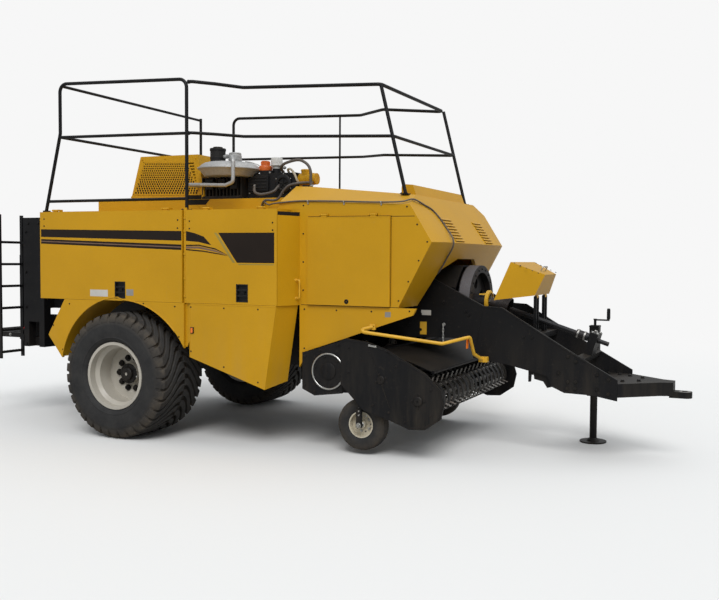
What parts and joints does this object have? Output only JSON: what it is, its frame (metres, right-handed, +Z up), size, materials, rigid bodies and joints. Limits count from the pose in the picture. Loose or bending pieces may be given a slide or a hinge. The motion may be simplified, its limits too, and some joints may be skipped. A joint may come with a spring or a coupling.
{
  "type": "large square baler",
  "caption": "Trailed large square baler on one axle with flotation tyres, a tined pickup and cutting rotor, a through bale chamber, lifting side doors, a railed top deck and a parking jack.",
  "frame": {"origin": "on the ground, under the middle of the machine's length and width", "axes": "+X forward to the hitch, +Y to the machine's left, +Z up"},
  "size_m": [8.8039, 3.04, 3.817],
  "materials": {
    "yellow_paint": "semi-gloss golden yellow enamel",
    "black_paint": "satin black enamel",
    "bare_steel": "worn bare steel",
    "flywheel_steel": "machined and darkened cast iron",
    "rim_paint": "silver grey enamel",
    "gauge_rim_paint": "cream white enamel",
    "tyre": "matt black rubber",
    "cast_alloy": "dull cast aluminium",
    "engine_black": "black painted cast iron",
    "black_plastic": "moulded black plastic",
    "amber_lens": "moulded amber lens"
  },
  "bodies": {
    "root": {"twine_box_right": "yellow_paint", "twine_box_left": "yellow_paint", "fender_right": "yellow_paint", "fender_left": "yellow_paint", "shield_right": "yellow_paint", "shield_left": "yellow_paint", "deck": "yellow_paint", "hood": "yellow_paint", "skirt_right": "yellow_paint", "skirt_left": "yellow_paint", "fan_box": "yellow_paint", "guard_tube": "yellow_paint", "axle": "black_paint", "frame": "black_paint", "bale_chamber": "black_paint", "tension_frame": "black_paint", "ladder": "black_paint", "gearbox": "black_paint", "flywheel_cover": "black_paint", "tongue": "black_paint", "hitch": "black_paint", "jack_tube": "black_paint", "rotor_housing": "black_paint", "rails_rear": "black_paint", "rails_front": "black_paint", "density_cylinders": "bare_steel", "engine_blower": "cast_alloy", "engine": "engine_black", "air_cleaner": "black_plastic", "lamps": "amber_lens"},
    "wheel_right": {"tyre_right": "tyre", "rim_right": "rim_paint"},
    "wheel_left": {"tyre_left": "tyre", "rim_left": "rim_paint"},
    "pickup": {"pickup": "black_paint", "wind_guard": "black_paint"},
    "reel": {"reel": "bare_steel"},
    "auger": {"auger": "black_paint"},
    "gauge_right": {"gauge_tyres_right": "tyre", "gauge_rims_right": "gauge_rim_paint"},
    "gauge_left": {"gauge_tyres_left": "tyre", "gauge_rims_left": "gauge_rim_paint"},
    "rotor": {"rotor": "bare_steel"},
    "flywheel": {"flywheel": "flywheel_steel"},
    "driveline": {"driveline": "flywheel_steel"},
    "front_cover": {"front_cover": "yellow_paint"},
    "door_rear_right": {"door_rear_right": "yellow_paint"},
    "door_rear_left": {"door_rear_left": "yellow_paint"},
    "door_front_right": {"door_front_right": "yellow_paint"},
    "door_front_left": {"door_front_left": "yellow_paint"},
    "hood_door_right": {"hood_door_right": "yellow_paint"},
    "hood_door_left": {"hood_door_left": "yellow_paint"},
    "jack": {"jack_leg": "black_paint"},
    "chute": {"chute": "black_paint"},
    "plunger": {"plunger": "black_paint"}
  },
  "joints": [
    {"name": "wheel_right_spin", "type": "hinge", "parent": "root", "child": "wheel_right", "pos_m": [-1.29, -1.17, 0.6665], "axis": [0, 1, 0], "continuous": true},
    {"name": "wheel_left_spin", "type": "hinge", "parent": "root", "child": "wheel_left", "pos_m": [-1.29, 1.17, 0.6665], "axis": [0, 1, 0], "continuous": true},
    {"name": "pickup_lift", "type": "hinge", "parent": "root", "child": "pickup", "pos_m": [1.067, 0, 0.81], "axis": [0, -1, 0], "range_deg": [-5, 8]},
    {"name": "reel_spin", "type": "hinge", "parent": "pickup", "child": "reel", "pos_m": [2.04, 0, 0.585], "axis": [0, 1, 0], "continuous": true},
    {"name": "auger_spin", "type": "hinge", "parent": "pickup", "child": "auger", "pos_m": [1.655, 0, 0.765], "axis": [0, 1, 0], "continuous": true},
    {"name": "gauge_right_spin", "type": "hinge", "parent": "pickup", "child": "gauge_right", "pos_m": [1.4, -1.03, 0.3], "axis": [0, 1, 0], "continuous": true},
    {"name": "gauge_left_spin", "type": "hinge", "parent": "pickup", "child": "gauge_left", "pos_m": [1.4, 1.03, 0.3], "axis": [0, 1, 0], "continuous": true},
    {"name": "rotor_spin", "type": "hinge", "parent": "root", "child": "rotor", "pos_m": [1.067, 0, 0.81], "axis": [0, 1, 0], "continuous": true},
    {"name": "flywheel_spin", "type": "hinge", "parent": "root", "child": "flywheel", "pos_m": [2.13, 0, 1.48], "axis": [1, 0, 0], "continuous": true},
    {"name": "driveline_spin", "type": "hinge", "parent": "root", "child": "driveline", "pos_m": [2.37, 0, 1.476], "axis": [0.9537, 0, -0.3007], "continuous": true},
    {"name": "front_cover_tilt", "type": "hinge", "parent": "root", "child": "front_cover", "pos_m": [2.89, 0, 1.55], "axis": [0, 1, 0], "range_deg": [-4, 55]},
    {"name": "door_rear_right_lift", "type": "hinge", "parent": "root", "child": "door_rear_right", "pos_m": [-1.29, -1.352, 2.412], "axis": [-1, 0, 0], "range_deg": [0, 90]},
    {"name": "door_rear_left_lift", "type": "hinge", "parent": "root", "child": "door_rear_left", "pos_m": [-1.29, 1.352, 2.412], "axis": [1, 0, 0], "range_deg": [0, 90]},
    {"name": "door_front_right_lift", "type": "hinge", "parent": "root", "child": "door_front_right", "pos_m": [0.01, -1.352, 2.412], "axis": [-1, 0, 0], "range_deg": [0, 90]},
    {"name": "door_front_left_lift", "type": "hinge", "parent": "root", "child": "door_front_left", "pos_m": [0.01, 1.352, 2.412], "axis": [1, 0, 0], "range_deg": [0, 90]},
    {"name": "hood_door_right_lift", "type": "hinge", "parent": "root", "child": "hood_door_right", "pos_m": [1.21, -1.117, 2.342], "axis": [-1, 0, 0], "range_deg": [0, 90]},
    {"name": "hood_door_left_lift", "type": "hinge", "parent": "root", "child": "hood_door_left", "pos_m": [1.21, 1.117, 2.342], "axis": [1, 0, 0], "range_deg": [0, 90]},
    {"name": "jack_slide", "type": "slide", "parent": "root", "child": "jack", "axis": [0, 0, 1], "range_m": [0, 0.3]},
    {"name": "chute_fold", "type": "hinge", "parent": "root", "child": "chute", "pos_m": [-3.5, 0, 0.92], "axis": [0, 1, 0], "range_deg": [0, 85]},
    {"name": "plunger_stroke", "type": "slide", "parent": "root", "child": "plunger", "axis": [-1, 0, 0], "range_m": [0, 0.7]}
  ],
  "couplings": [
    {"joint": "driveline_spin", "follows": "flywheel_spin", "ratio": 1}
  ]
}
